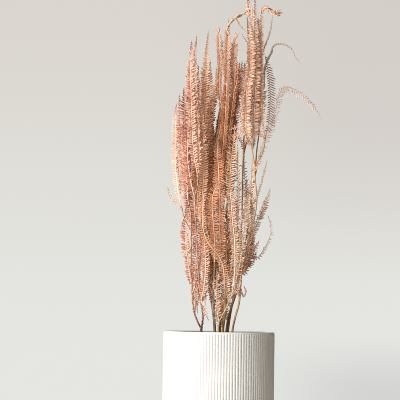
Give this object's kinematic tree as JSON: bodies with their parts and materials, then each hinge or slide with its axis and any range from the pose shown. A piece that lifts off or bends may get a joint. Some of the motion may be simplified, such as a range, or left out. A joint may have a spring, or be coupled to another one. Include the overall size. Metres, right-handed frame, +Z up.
{
  "type": "vase of preserved fern",
  "caption": "Preserved umbrella fern dyed blush and terracotta, standing tall in dry foam inside a ribbed white cylinder vase.",
  "frame": {"origin": "centre of the vase's flat base", "axes": "+Z up along the vase's axis; -Y faces the viewer of the picture and +X is to their right"},
  "size_m": [0.2107, 0.15, 0.6527],
  "materials": {
    "vase": "matte",
    "foam": "matte",
    "fern_pink": "matte",
    "fern_brown": "matte",
    "fern_peach": "matte"
  },
  "bodies": {
    "root": {"vase": "vase", "foam": "foam", "frond_left_front": "fern_pink", "frond_left_middle": "fern_pink", "frond_left_back": "fern_pink", "frond_centre_front": "fern_peach", "frond_centre_middle": "fern_brown", "frond_centre_back": "fern_brown", "frond_right_front": "fern_peach", "frond_right_middle": "fern_brown", "frond_right_back": "fern_peach"}
  },
  "joints": []
}
